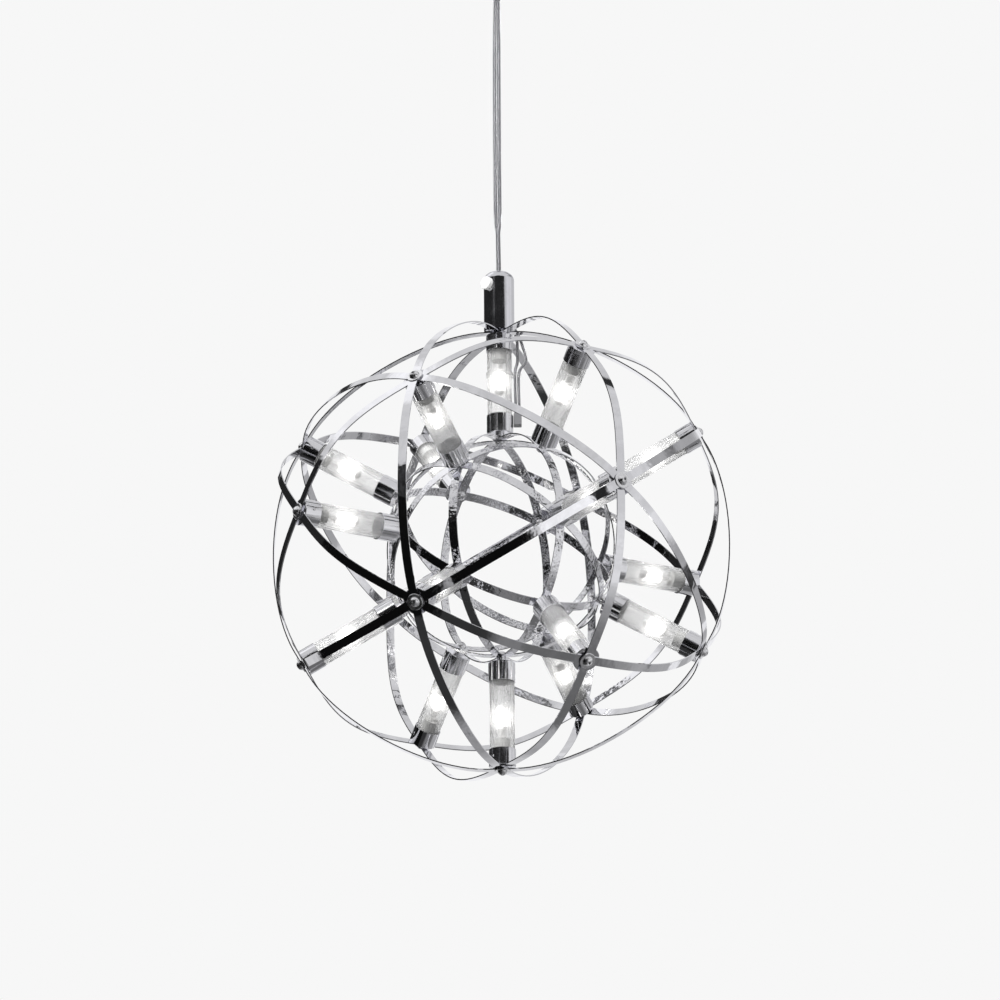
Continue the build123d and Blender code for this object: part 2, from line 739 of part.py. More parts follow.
with BuildPart() as canopy_fixings:
    with BuildSketch(Plane.XY.offset(canopy_z - nut_h / 2)):
        with GridLocations(stud_pitch, 0, 2, 1):
            Circle(stud_d / 2)
    extrude(amount=canopy_h + nut_h / 2)
save(canopy_fixings, "canopy_fixings")

with BuildPart() as canopy_nuts:
    with GridLocations(stud_pitch, 0, 2, 1):
        with Locations((0, 0, canopy_z)):
            Cylinder(nut_d / 2, nut_h, align=(Align.CENTER, Align.CENTER, Align.MAX))
            Cylinder(
                stud_d / 2 + thread_clearance, nut_h / 2, mode=Mode.SUBTRACT,
                align=(Align.CENTER, Align.CENTER, Align.MAX),
            )
    fillet(canopy_nuts.faces().group_by(Axis.Z)[0].edges(), nut_d / 4)
save(canopy_nuts, "canopy_nuts")

with BuildPart() as transformer:
    with Locations((0, transformer_y, canopy_floor_z)):
        Box(
            transformer_l, transformer_w, transformer_h,
            align=(Align.CENTER, Align.CENTER, Align.MIN),
        )
    fillet(transformer.edges().filter_by(Axis.Z), transformer_round)
save(transformer, "transformer")
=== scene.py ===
"""Orb chandelier: finishes, lamps, cord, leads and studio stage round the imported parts."""
import math
import re

import bmesh
import bpy
from bpy.props import FloatProperty, FloatVectorProperty, PointerProperty
from mathutils import Matrix, Vector


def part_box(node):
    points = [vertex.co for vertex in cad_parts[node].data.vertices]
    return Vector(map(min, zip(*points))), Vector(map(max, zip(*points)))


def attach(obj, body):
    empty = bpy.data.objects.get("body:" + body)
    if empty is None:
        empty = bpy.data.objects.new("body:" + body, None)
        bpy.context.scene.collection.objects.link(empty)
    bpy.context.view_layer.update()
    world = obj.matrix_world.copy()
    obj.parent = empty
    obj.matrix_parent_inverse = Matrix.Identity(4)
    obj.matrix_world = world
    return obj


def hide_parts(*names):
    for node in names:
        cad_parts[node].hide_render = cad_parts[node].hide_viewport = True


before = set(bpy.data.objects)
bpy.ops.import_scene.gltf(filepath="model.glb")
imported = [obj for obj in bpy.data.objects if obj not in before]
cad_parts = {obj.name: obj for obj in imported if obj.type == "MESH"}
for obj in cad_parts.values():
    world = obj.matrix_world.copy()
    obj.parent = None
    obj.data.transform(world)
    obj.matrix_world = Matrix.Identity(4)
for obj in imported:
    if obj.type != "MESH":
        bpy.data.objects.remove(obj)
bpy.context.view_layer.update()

bl_info = {
    "name": "Orb chandelier looks",
    "version": (1, 0, 0),
    "blender": (4, 5, 0),
    "location": "3D View > Sidebar > Orb chandelier",
    "description": "Finishes the orb chandelier's parts and sets up its studio stage",
    "category": "Object",
}

MM = 0.001

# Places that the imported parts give.
STEM_TOP_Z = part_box("stem_cup")[1].z
STEM_FOOT_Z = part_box("stem_base")[0].z
CORD_LOW, CORD_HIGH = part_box("suspension_cord")
TOP_TUBE_LOW, TOP_TUBE_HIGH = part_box("glass_tube_01")
LAST_TUBE_LOW, LAST_TUBE_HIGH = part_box("glass_tube_18")
MIDDLE_Z = ((TOP_TUBE_LOW + TOP_TUBE_HIGH + LAST_TUBE_LOW + LAST_TUBE_HIGH) / 4).z
ORB_CENTRE = Vector((0.0, 0.0, MIDDLE_Z))


# ---- settings a user would change -----------------------------------------------------------
def color_setting(name, description, default):
    return FloatVectorProperty(
        name=name, description=description, default=default, subtype="COLOR", min=0.0, max=1.0
    )


def length_setting(name, description, default):
    return FloatProperty(name=name, description=description, default=default, unit="LENGTH")


class OrbMetalSettings(bpy.types.PropertyGroup):
    """Finish of the plated and turned metal."""

    chrome: color_setting("Chrome", "Colour of the plated bands, caps and dome nuts", (0.84, 0.84, 0.86))
    stem: color_setting("Stem chrome", "Colour of the turned stem and the canopy", (0.82, 0.82, 0.85))
    screw: color_setting("Screw chrome", "Colour of the screws and washers", (0.9, 0.9, 0.91))
    nickel: color_setting("Nickel wire", "Colour of the wires along the tubes", (0.3, 0.3, 0.3))
    brass: color_setting("Brass", "Colour of the cord's clamp and ferrule", (0.72, 0.55, 0.28))
    zinc: color_setting("Zinc", "Colour of the ceiling bracket and the studs", (0.55, 0.56, 0.58))
    band_roughness: FloatProperty(
        name="Band roughness", description="Least roughness of the bands", default=0.05, min=0.0, max=1.0
    )
    stem_roughness: FloatProperty(
        name="Stem roughness", description="Least roughness of the stem", default=0.06, min=0.0, max=1.0
    )
    cap_roughness: FloatProperty(
        name="Cap roughness", description="Least roughness of caps and collars", default=0.12,
        min=0.0, max=1.0,
    )
    screw_roughness: FloatProperty(
        name="Screw roughness", description="Least roughness of the screws", default=0.26,
        min=0.0, max=1.0,
    )
    band_wave: length_setting("Band wave", "Height of the waves in the rolled strip", 0.00035)
    inner_wave: length_setting("Inner band wave", "Height of the waves in the inner bands", 0.0006)


class OrbGlassSettings(bpy.types.PropertyGroup):
    """Glass tubes and the lamps in them."""

    glass: color_setting("Glass", "Tint of the glass tubes", (0.99, 0.99, 0.99))
    glow: color_setting("Lamp light", "Colour of the lit lamps", (1.0, 0.985, 0.96))
    glow_strength: FloatProperty(
        name="Lamp strength", description="Brightness of a lamp's middle", default=3.6, min=0.0
    )
    # painted glow: the glass round each lamp is given emission of its own, standing in for lamp light
    # scattered in the glass
    painted_halo_strength: FloatProperty(
        name="Halo strength", description="Lamp light caught in the glass round a lamp", default=0.11,
        min=0.0,
    )
    glow_radius: length_setting(
        "Glow radius", "From the spheres' middle to a lamp's brightest place", 0.1535
    )
    clarity: FloatProperty(
        name="Glass clarity", description="How little milk there is in the glass", default=0.86,
        min=0.0, max=1.0,
    )
    envelope: color_setting("Lamp glass", "Colour of a lamp's own glass", (0.9, 0.9, 0.9))
    ceramic: color_setting("Ceramic", "Colour of the lamp holders", (0.8, 0.8, 0.78))


class OrbCordSettings(bpy.types.PropertyGroup):
    """Twin cord and the clear leads."""

    width: length_setting("Cord width", "Across both cores", 0.0075)
    thickness: length_setting("Cord thickness", "Across one core", 0.004)
    core: length_setting("Core", "Diameter of the metal inside one core", 0.0021)
    lead: length_setting("Lead", "Diameter of a clear lead", 0.0028)
    lead_core: length_setting("Lead core", "Diameter of the metal in a lead", 0.0015)
    plastic: color_setting("Clear plastic", "Tint of the cord and leads", (0.8, 0.8, 0.82))
    metal: color_setting("Core metal", "Colour of the strands", (0.3, 0.3, 0.31))


class OrbPlasticSettings(bpy.types.PropertyGroup):
    """Small moulded pieces."""

    knob: color_setting("Knob", "Colour of the stem's side screw", (0.9, 0.9, 0.9))
    strap: color_setting("Strap", "Tint of the clear strap round the leads", (0.94, 0.94, 0.94))
    terminal: color_setting("Terminal", "Colour of the block where the leads end", (0.22, 0.22, 0.23))
    transformer: color_setting("Transformer", "Colour of the transformer's case", (0.78, 0.78, 0.76))


class OrbStageSettings(bpy.types.PropertyGroup):
    """Camera, floor and what surrounds the chandelier."""

    camera_distance: length_setting("Camera distance", "From the sphere's middle", 4.02)
    camera_azimuth: FloatProperty(
        name="Camera azimuth", description="Turn of the camera round the cord, from +X",
        default=math.radians(-30.4), subtype="ANGLE",
    )
    camera_rise: FloatProperty(
        name="Camera rise", description="How far the camera looks up", default=math.radians(19.4),
        subtype="ANGLE",
    )
    camera_roll: FloatProperty(
        name="Camera roll", description="Turn about the line of sight",
        default=math.radians(-0.43), subtype="ANGLE",
    )
    focal_length: FloatProperty(
        name="Focal length", description="Of the lens, in millimetres", default=167.18, min=1.0
    )
    sphere_drop: length_setting("Sphere drop", "Sphere's middle below the line of sight", 0.04175)
    sphere_right: length_setting("Sphere right", "Sphere's middle right of the line of sight", 0.00046)
    backdrop: color_setting("Backdrop", "Colour of the background", (0.93, 0.93, 0.93))
    floor_depth: length_setting("Floor depth", "Of the floor below the ceiling", 2.4)
    floor_size: length_setting("Floor size", "Side of the floor", 90.0)
    floor_lift: FloatProperty(
        name="Floor lift", description="What brings the floor near the backdrop's tone", default=0.2
    )
    fill: FloatProperty(name="Fill light", description="Strength of the soft light", default=0.75)
    key: FloatProperty(name="Key light", description="Power of the large lamp", default=120.0)


SETTINGS = {
    "orb_metal": OrbMetalSettings,
    "orb_glass": OrbGlassSettings,
    "orb_cord": OrbCordSettings,
    "orb_plastic": OrbPlasticSettings,
    "orb_stage": OrbStageSettings,
}


# ---- node helpers ---------------------------------------------------------------------------
def put(tree, kind, inputs=None, **properties):
    """Adds a node, sets it up, and fills or links its inputs."""
    node = tree.nodes.new(kind)
    for name, value in properties.items():
        setattr(node, name, value)
    for name, value in (inputs or {}).items():
        if isinstance(value, bpy.types.NodeSocket):
            tree.links.new(value, node.inputs[name])
        else:
            node.inputs[name].default_value = value
    return node


def rgba(color):
    return (color[0], color[1], color[2], 1.0)


def calc(tree, operation, *values):
    """What a maths node gives for sockets or numbers."""
    return put(tree, "ShaderNodeMath", dict(enumerate(values)), operation=operation).outputs[0]


def vector_calc(tree, operation, *values):
    """The outputs of a vector maths node: Vector, or Value where the operation gives a number."""
    return put(tree, "ShaderNodeVectorMath", dict(enumerate(values)), operation=operation).outputs


def blend(tree, factor, low, high):
    """A colour that is low where the factor is 0 and high where it is 1. Of the node's sockets,
    6 and 7 take the colours and 2 gives one."""
    return put(tree, "ShaderNodeMix", {"Factor": factor, 6: low, 7: high}, data_type="RGBA").outputs[2]


def times(color, factor):
    """A colour with its channels scaled, as a socket takes it."""
    return rgba([channel * factor for channel in color])


def new_group(name, inputs, outputs):
    """A shader node group with float inputs and outputs, and a Vector to read."""
    group = bpy.data.node_groups.new(name, "ShaderNodeTree")
    group.interface.new_socket("Vector", in_out="INPUT", socket_type="NodeSocketVector")
    for label, default in inputs.items():
        socket = group.interface.new_socket(label, in_out="INPUT", socket_type="NodeSocketFloat")
        socket.default_value = default
    for label in outputs:
        group.interface.new_socket(label, in_out="OUTPUT", socket_type="NodeSocketFloat")
    start = group.nodes.new("NodeGroupInput")
    end = group.nodes.new("NodeGroupOutput")
    return group, start.outputs, end.inputs


def noise(tree, vector, scale, detail, roughness):
    """Cloudy values from about 0.3 to 0.7."""
    inputs = {"Vector": vector, "Scale": scale, "Detail": detail, "Roughness": roughness}
    return put(tree, "ShaderNodeTexNoise", inputs).outputs[0]


def smooth(tree, value, low, high, to_low=0.0, to_high=1.0):
    """A smooth step from to_low to to_high, as the value goes from low to high."""
    inputs = {"Value": value, 1: low, 2: high, 3: to_low, 4: to_high}
    return put(tree, "ShaderNodeMapRange", inputs, interpolation_type="SMOOTHSTEP").outputs[0]


FINE_GRAIN = 14.0  # grain to smudges, in a polished surface
SHORT_WAVES = 5.0  # short waves to long ones, in rolled strip


def polish_group():
    """Handling marks on a polished surface: where it is duller, and its fine grain."""
    name = "Polish and handling"
    if name in bpy.data.node_groups:
        return bpy.data.node_groups[name]
    group, given, out = new_group(
        name, {"Scale": 60.0, "Least roughness": 0.05, "Smudge": 0.1}, ("Roughness", "Height", "Mask")
    )
    cloud = noise(group, given["Vector"], given["Scale"], 5.0, 0.6)
    mask = smooth(group, cloud, 0.46, 0.72)
    fine_scale = calc(group, "MULTIPLY", given["Scale"], FINE_GRAIN)
    fine = noise(group, given["Vector"], fine_scale, 2.0, 0.5)
    dull = calc(group, "MULTIPLY", mask, given["Smudge"])
    dusted = calc(group, "MULTIPLY", dull, fine)
    group.links.new(calc(group, "ADD", dusted, given["Least roughness"]), out["Roughness"])
    group.links.new(fine, out["Height"])
    group.links.new(mask, out["Mask"])
    return group


def wave_group():
    """Long shallow waves, as in rolled and bent strip or drawn plastic."""
    name = "Shallow waves"
    if name in bpy.data.node_groups:
        return bpy.data.node_groups[name]
    group, given, out = new_group(name, {"Scale": 30.0, "Fine": 0.25}, ("Height",))
    long_wave = noise(group, given["Vector"], given["Scale"], 1.0, 0.4)
    short_scale = calc(group, "MULTIPLY", given["Scale"], SHORT_WAVES)
    short_wave = noise(group, given["Vector"], short_scale, 1.0, 0.4)
    short = calc(group, "MULTIPLY", short_wave, given["Fine"])
    group.links.new(calc(group, "ADD", long_wave, short), out["Height"])
    return group


GLOW_RAGGED = 0.012  # how far, in metres, the edge of a lamp's light wanders in all


def glow_group():
    """Where a lamp's light is, by the distance from the middle of the spheres."""
    name = "Lamp glow"
    if name in bpy.data.node_groups:
        return bpy.data.node_groups[name]
    group, given, out = new_group(name, {"Middle": 0.153, "Core": 0.006, "Edge": 0.013}, ("Mask",))
    distance = vector_calc(group, "DISTANCE", given["Vector"], tuple(ORB_CENTRE))["Value"]
    cloud = noise(group, given["Vector"], 150.0, 2.0, 0.5)
    uneven = calc(group, "MULTIPLY_ADD", cloud, GLOW_RAGGED, distance)
    middle = calc(group, "ADD", given["Middle"], GLOW_RAGGED / 2)
    off = calc(group, "ABSOLUTE", calc(group, "SUBTRACT", uneven, middle))
    mask = smooth(group, off, given["Core"], given["Edge"], 1.0, 0.0)
    group.links.new(mask, out["Mask"])
    return group


def streak_group():
    """Streaks along the drawn tubes, which all point at the middle of the spheres."""
    name = "Drawn streaks"
    if name in bpy.data.node_groups:
        return bpy.data.node_groups[name]
    group, given, out = new_group(name, {"Scale": 90.0}, ("Mask",))
    away = vector_calc(group, "SUBTRACT", given["Vector"], tuple(ORB_CENTRE))["Vector"]
    direction = vector_calc(group, "NORMALIZE", away)["Vector"]
    mask = smooth(group, noise(group, direction, given["Scale"], 2.0, 0.6), 0.42, 0.68)
    group.links.new(mask, out["Mask"])
    return group


def use_group(tree, group, vector, **values):
    """Places a group in a tree, set to values by its inputs' names, and gives its outputs."""
    node = tree.nodes.new("ShaderNodeGroup")
    node.node_tree = group
    tree.links.new(vector, node.inputs["Vector"])
    for label, value in values.items():
        node.inputs[label.replace("_", " ")].default_value = value
    return node.outputs


def glow_color(tree, place, color, faintest, **values):
    """color where a lamp's light is, and faintest times that elsewhere."""
    glow = use_group(tree, glow_group(), place, **values)["Mask"]
    return blend(tree, glow, times(color, faintest), rgba(color))


def start_material(name):
    """An empty material, its Principled shader, and Object coordinates to read."""
    material = bpy.data.materials.new(name)
    material.use_nodes = True
    tree = material.node_tree
    shader = next(n for n in tree.nodes if n.type == "BSDF_PRINCIPLED")
    place = put(tree, "ShaderNodeTexCoord").outputs["Object"]
    return material, tree, shader, place


def tinted(tree, mask, color, darker):
    """color where mask is 0, and darker times that where it is 1."""
    return blend(tree, mask, rgba(color), times(color, darker))


def bump(tree, height, distance, after=None):
    """A normal for a height of up to a distance in metres, laid over the normal after."""
    inputs = {"Height": height, "Distance": distance, "Strength": 1.0}
    if after is not None:
        inputs["Normal"] = after
    return put(tree, "ShaderNodeBump", inputs).outputs[0]


GRAIN_DEPTH = 0.004 * MM  # in polished metal
PLASTIC_GRAIN = 900.0  # grains to the metre, about
PLASTIC_DEPTH = 0.02 * MM


def metal_material(
    name, color, roughness, smudge=0.12, scale=60.0, wave=0.0, wave_scale=30.0, fine=0.25
):
    """Metal with handling marks, and shallow waves where it is rolled or bent."""
    material, tree, shader, place = start_material(name)
    marks = use_group(
        tree, polish_group(), place, Scale=scale, Least_roughness=roughness, Smudge=smudge
    )
    tree.links.new(tinted(tree, marks["Mask"], color, 0.93), shader.inputs["Base Color"])
    tree.links.new(marks["Roughness"], shader.inputs["Roughness"])
    normal = bump(tree, marks["Height"], GRAIN_DEPTH)
    if wave:
        waves = use_group(tree, wave_group(), place, Scale=wave_scale, Fine=fine)
        normal = bump(tree, waves["Height"], wave, after=normal)
    tree.links.new(normal, shader.inputs["Normal"])
    shader.inputs["Metallic"].default_value = 1.0
    return material


def plastic_material(name, color, roughness):
    """Moulded plastic or glaze with a faint grain."""
    material, tree, shader, place = start_material(name)
    marks = use_group(tree, polish_group(), place, Scale=90.0, Least_roughness=roughness, Smudge=0.2)
    tree.links.new(tinted(tree, marks["Mask"], color, 0.94), shader.inputs["Base Color"])
    tree.links.new(marks["Roughness"], shader.inputs["Roughness"])
    pits = noise(tree, place, PLASTIC_GRAIN, 2.0, 0.6)
    tree.links.new(bump(tree, pits, PLASTIC_DEPTH), shader.inputs["Normal"])
    return material


def let_lamps_through(tree, shader):
    """Light from the lamps passes the clear surface instead of being stopped by it."""
    output = next(n for n in tree.nodes if n.type == "OUTPUT_MATERIAL")
    shadow = put(tree, "ShaderNodeLightPath").outputs["Is Shadow Ray"]
    clear = put(tree, "ShaderNodeBsdfTransparent").outputs[0]
    mixed = put(tree, "ShaderNodeMixShader", {0: shadow, 1: shader.outputs[0], 2: clear})
    tree.links.new(mixed.outputs[0], output.inputs["Surface"])


def start_clear(name, roughness, ior, smudge, clarity=1.0):
    """A clear material with no tint yet, milky where its clarity is under 1, and its marks."""
    material, tree, shader, place = start_material(name)
    marks = use_group(
        tree, polish_group(), place, Scale=45.0, Least_roughness=roughness, Smudge=smudge
    )
    tree.links.new(marks["Roughness"], shader.inputs["Roughness"])
    shader.inputs["Transmission Weight"].default_value = clarity
    shader.inputs["IOR"].default_value = ior
    let_lamps_through(tree, shader)
    return material, tree, shader, place, marks["Mask"]


def clear_plastic(name, color, roughness, ior, smudge, wave=0.0):
    """Clear plastic with faint marks, and with waves where it is drawn."""
    material, tree, shader, place, marks = start_clear(name, roughness, ior, smudge)
    tree.links.new(tinted(tree, marks, color, 0.985), shader.inputs["Base Color"])
    if wave:
        waves = use_group(tree, wave_group(), place, Scale=25.0, Fine=0.1)
        tree.links.new(bump(tree, waves["Height"], wave), shader.inputs["Normal"])
    return material


def dress(material, *patterns):
    """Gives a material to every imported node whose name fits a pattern."""
    found = [n for n in sorted(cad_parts) if any(re.fullmatch(p, n) for p in patterns)]
    if len(found) < len(patterns):
        raise RuntimeError(f"no packed node fits one of {patterns}")
    for name in found:
        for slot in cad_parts[name].material_slots:
            slot.material = material


def settings(name):
    """One group of the scene's settings."""
    return getattr(bpy.context.scene, name)


# ---- shaping helpers ------------------------------------------------------------------------
def add_piece(piece, body, material):
    """Names where a piece rides and what it is finished in."""
    piece.data.materials.clear()
    piece.data.materials.append(material)
    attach(piece, body)
    return piece


def at_turn(radius, turn, z):
    """A point round the upright axis, by its radius and turn in degrees, in metres."""
    return Vector((radius * math.cos(math.radians(turn)), radius * math.sin(math.radians(turn)), z))


def route_curve(name, points, diameter, steps=12):
    """A smooth line along a route's control points, with a round section where it has a diameter."""
    data = bpy.data.curves.new(name, "CURVE")
    data.dimensions = "3D"
    data.resolution_u = steps
    spline = data.splines.new("NURBS")
    spline.points.add(len(points) - 1)
    for control, point in zip(spline.points, points):
        control.co = (*point, 1.0)
    spline.order_u = 3
    spline.use_endpoint_u = True
    data.bevel_depth = diameter / 2
    data.bevel_resolution = 5
    data.use_fill_caps = diameter > 0
    line = bpy.data.objects.new(name, data)
    bpy.context.scene.collection.objects.link(line)
    return line


def points_of(line):
    """The points that a curve with no bevel runs through."""
    bpy.context.view_layer.update()
    mesh = bpy.data.meshes.new_from_object(line)
    points = [vertex.co.copy() for vertex in mesh.vertices]
    bpy.data.meshes.remove(mesh)
    return points


def sweep_mesh(name, path, sections):
    """A closed mesh through one section of points at each place on an upright path."""
    count = len(sections[0])
    mesh = bpy.data.meshes.new(name)
    build = bmesh.new()
    rings = []
    for place, section in zip(path, sections):
        rings.append([build.verts.new(place + Vector((x, y, 0.0))) for x, y in section])
    for low, high in zip(rings, rings[1:]):
        for i in range(count):
            j = (i + 1) % count
            build.faces.new((low[i], low[j], high[j], high[i]))
    build.faces.new(list(reversed(rings[0])))
    build.faces.new(rings[-1])
    bmesh.ops.recalc_face_normals(build, faces=build.faces)
    build.to_mesh(mesh)
    build.free()
    mesh.shade_smooth()
    return mesh


# ---- pieces ---------------------------------------------------------------------------------
class ORB_OT_finish_bands(bpy.types.Operator):
    """Plates the bands of both spheres with rolled, slightly wavy chrome"""

    bl_idname = "orb.finish_bands"
    bl_label = "Finish bands"

    def execute(self, context):
        metal = settings("orb_metal")
        outer = metal_material(
            "Chromed outer band", metal.chrome, metal.band_roughness, wave=metal.band_wave, wave_scale=38.0
        )
        inner = metal_material(
            "Chromed inner band", metal.chrome, metal.band_roughness,
            wave=metal.inner_wave, wave_scale=70.0, fine=0.5,
        )
        dress(outer, r"outer_hoop_\d")
        dress(inner, r"inner_hoop_\d")
        return {"FINISHED"}


class ORB_OT_finish_fittings(bpy.types.Operator):
    """Finishes the turned caps, collars, screws, washers and wires"""

    bl_idname = "orb.finish_fittings"
    bl_label = "Finish caps, screws and wires"

    def execute(self, context):
        metal = settings("orb_metal")
        turned = metal_material("Turned chrome", metal.chrome, metal.cap_roughness, wave=0.05 * MM)
        screw = metal_material(
            "Screw chrome", metal.screw, metal.screw_roughness, smudge=0.25, scale=160.0
        )
        wire = metal_material("Nickel wire", metal.nickel, roughness=0.25, smudge=0.3, scale=200.0)
        dress(turned, "outer_caps", "inner_caps", "tube_spacers")
        dress(screw, "node_screws", "node_washers", "cap_set_screws", "stem_screw")
        dress(wire, "return_leads")
        return {"FINISHED"}


class ORB_OT_finish_stem(bpy.types.Operator):
    """Finishes the stem, its side screw and the ferrule in it"""

    bl_idname = "orb.finish_stem"
    bl_label = "Finish stem"

    def execute(self, context):
        metal = settings("orb_metal")
        stem = metal_material(
            "Stem chrome", metal.stem, metal.stem_roughness, wave=0.04 * MM, wave_scale=20.0
        )
        knob = plastic_material("Nylon knob", settings("orb_plastic").knob, roughness=0.16)
        brass = metal_material("Turned brass", metal.brass, roughness=0.24, smudge=0.25, scale=120.0)
        dress(stem, "stem_cup", "stem_base")
        dress(knob, "stem_side_screw")
        dress(brass, "cord_ferrule", "cord_clamp")
        return {"FINISHED"}


class ORB_OT_finish_tubes(bpy.types.Operator):
    """Makes the tubes clear drawn glass, with a painted glow of lamp light on the glass round each lamp"""

    bl_idname = "orb.finish_tubes"
    bl_label = "Finish glass tubes"

    def execute(self, context):
        glass = settings("orb_glass")
        drawn, tree, shader, place, _ = start_clear(
            "Drawn glass", roughness=0.0, ior=1.47, smudge=0.03, clarity=glass.clarity
        )
        streaks = use_group(tree, streak_group(), place, Scale=110.0)["Mask"]
        tree.links.new(tinted(tree, streaks, glass.glass, 0.9), shader.inputs["Base Color"])
        tree.links.new(bump(tree, streaks, 0.12 * MM), shader.inputs["Normal"])
        # painted glow: emission on the glass near each lamp, in place of the lamp's light scattering in the
        # glass
        painted_glass_glow = glow_color(
            tree, place, glass.glow, 0.0, Middle=glass.glow_radius, Core=2 * MM, Edge=14 * MM
        )
        tree.links.new(painted_glass_glow, shader.inputs["Emission Color"])
        shader.inputs["Emission Strength"].default_value = glass.painted_halo_strength
        dress(drawn, r"glass_tube_\d\d")
        return {"FINISHED"}


class ORB_OT_finish_lamps(bpy.types.Operator):
    """Lights the capsule lamps and glazes their holders"""

    bl_idname = "orb.finish_lamps"
    bl_label = "Finish lamps and holders"

    def execute(self, context):
        glass = settings("orb_glass")
        lit, tree, shader, place = start_material("Lit lamp glass")
        glow = glow_color(
            tree, place, glass.glow, 0.06, Middle=glass.glow_radius, Core=4 * MM, Edge=10 * MM
        )
        tree.links.new(glow, shader.inputs["Emission Color"])
        shader.inputs["Base Color"].default_value = rgba(glass.envelope)
        shader.inputs["Roughness"].default_value = 0.1
        shader.inputs["Emission Strength"].default_value = glass.glow_strength
        dress(lit, "bulbs")
        dress(plastic_material("Glazed ceramic", glass.ceramic, roughness=0.3), "bulb_holders")
        return {"FINISHED"}


# The cord turns edge on to the photograph's camera just above the stem, and flat on higher up.
# Each place is a height above the stem's top and the direction of the cord's width there.
CORD_TURNS = (
    (-0.0221, 0.0),
    (-0.004, -27.0),
    (0.036, -31.0),
    (0.050, 15.0),
    (0.066, 60.0),
    (0.085, 52.0),
    (0.110, 38.0),
    (0.132, 56.0),
    (0.200, 45.0),
    (0.270, 8.0),
    (0.310, 0.0),
)


def cord_turn(above_stem):
    """The direction of the cord's width, in radians, at a height above the stem's top."""
    if above_stem <= CORD_TURNS[0][0]:
        return math.radians(CORD_TURNS[0][1])
    for (low, low_turn), (high, high_turn) in zip(CORD_TURNS, CORD_TURNS[1:]):
        if above_stem <= high:
            share = (above_stem - low) / (high - low)
            share = share * share * (3 - 2 * share)
            return math.radians(low_turn + (high_turn - low_turn) * share)
    return math.radians(CORD_TURNS[-1][1])


JACKET_ARC_STEPS = 14  # of the outline round one core
STRANDS = 7
STRAND_OUTLINE_STEPS = 35
STRAND_LAY = 22.0 * MM  # along the cord in one turn of its strands
STRAND_GROOVE = 0.1  # of the core's radius


def jacket_outline(side, core_r):
    """Outline of the twin jacket: two round cores, whose middles are a side off the cord's own."""
    start = math.acos(min(1.0, side / core_r))
    half = []
    for step in range(JACKET_ARC_STEPS):
        angle = -math.pi + start + (2 * math.pi - 2 * start) * step / JACKET_ARC_STEPS
        half.append((side + core_r * math.cos(angle), core_r * math.sin(angle)))
    return half + [(-x, -y) for x, y in half]


def strand_outline(where, core_r, lay):
    """Outline of a core's strands, with a groove between each two, turned by their lay."""
    section = []
    for step in range(STRAND_OUTLINE_STEPS):
        angle = 2 * math.pi * step / STRAND_OUTLINE_STEPS
        ridge = abs(math.sin(STRANDS / 2 * (angle - lay)))
        radius = core_r * (1 - STRAND_GROOVE + STRAND_GROOVE * ridge)
        section.append((where + radius * math.cos(angle), radius * math.sin(angle)))
    return section


def turned(section, turn):
    """A section's points, turned about the cord's middle."""
    c, s = math.cos(turn), math.sin(turn)
    return [(x * c - y * s, x * s + y * c) for x, y in section]


def add_object(context, name, mesh):
    piece = bpy.data.objects.new(name, mesh)
    context.scene.collection.objects.link(piece)
    return piece


class ORB_OT_hang_cord(bpy.types.Operator):
    """Models the clear twin cord that the chandelier hangs by, with a stranded core on each side"""

    bl_idname = "orb.hang_cord"
    bl_label = "Hang twin cord"

    def execute(self, context):
        cord = settings("orb_cord")
        low, high = CORD_LOW.z, CORD_HIGH.z
        route = [
            (0.0, 0.0, low),
            (0.0, 0.0, STEM_TOP_Z),
            (-0.0004, -0.0006, STEM_TOP_Z + 0.060),
            (-0.0003, -0.0005, STEM_TOP_Z + 0.190),
            (0.0, 0.0, high - 0.020),
            (0.0, 0.0, high),
        ]
        line = route_curve("cord_line", route, 0.0, steps=48)
        path = points_of(line)
        bpy.data.objects.remove(line)

        side = (cord.width - cord.thickness) / 2
        outline = jacket_outline(side, cord.thickness / 2)
        turns = [cord_turn(place.z - STEM_TOP_Z) for place in path]
        name = "suspension_cord_jacket"
        jacket = add_object(
            context, name, sweep_mesh(name, path, [turned(outline, turn) for turn in turns])
        )
        cores = []
        for number, where in enumerate((side, -side), 1):
            sections = []
            for place, turn in zip(path, turns):
                lay = (place.z - low) / STRAND_LAY * 2 * math.pi
                sections.append(turned(strand_outline(where, cord.core / 2, lay), turn))
            name = f"suspension_cord_core_{number}"
            cores.append(add_object(context, name, sweep_mesh(name, path, sections)))

        plastic = clear_plastic(
            "Clear cord plastic", cord.plastic, roughness=0.06, ior=1.42, smudge=0.1, wave=0.02 * MM
        )
        strand = metal_material("Cord strands", cord.metal, roughness=0.5, smudge=0.2, scale=300.0)
        add_piece(jacket, "cord", plastic)
        for core in cores:
            add_piece(core, "cord", strand)
        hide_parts("suspension_cord")
        return {"FINISHED"}


# Routes of the two clear leads, as their solids run.
LEAD_RISE_R = 9.0 * MM
LEAD_EXIT_TURN = 90.0
LEAD_TIE_TURN = 60.0
LEAD_PITCH = 3.1 * MM
OUTER_BANDS_R = 197.0 * MM  # to the inside of the outer bands
LEAD_BEND_Z = ORB_CENTRE.z + OUTER_BANDS_R
TIE_Z = (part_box("lead_tie")[0].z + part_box("lead_tie")[1].z) / 2
TIE_LEAD_R = 14.95 * MM  # from the top tube's axis to the middle between the leads, at the strap
TERMINAL_R = 15.45 * MM  # and at the terminal
TERMINAL_TOP_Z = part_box("feed_terminal")[1].z
LEAD_INSIDE = 28.0 * MM
# Each lead's side, how far it hangs out and its length.
LEADS = ((-1, 22.5 * MM, 0.111), (1, 17.5 * MM, 0.109))


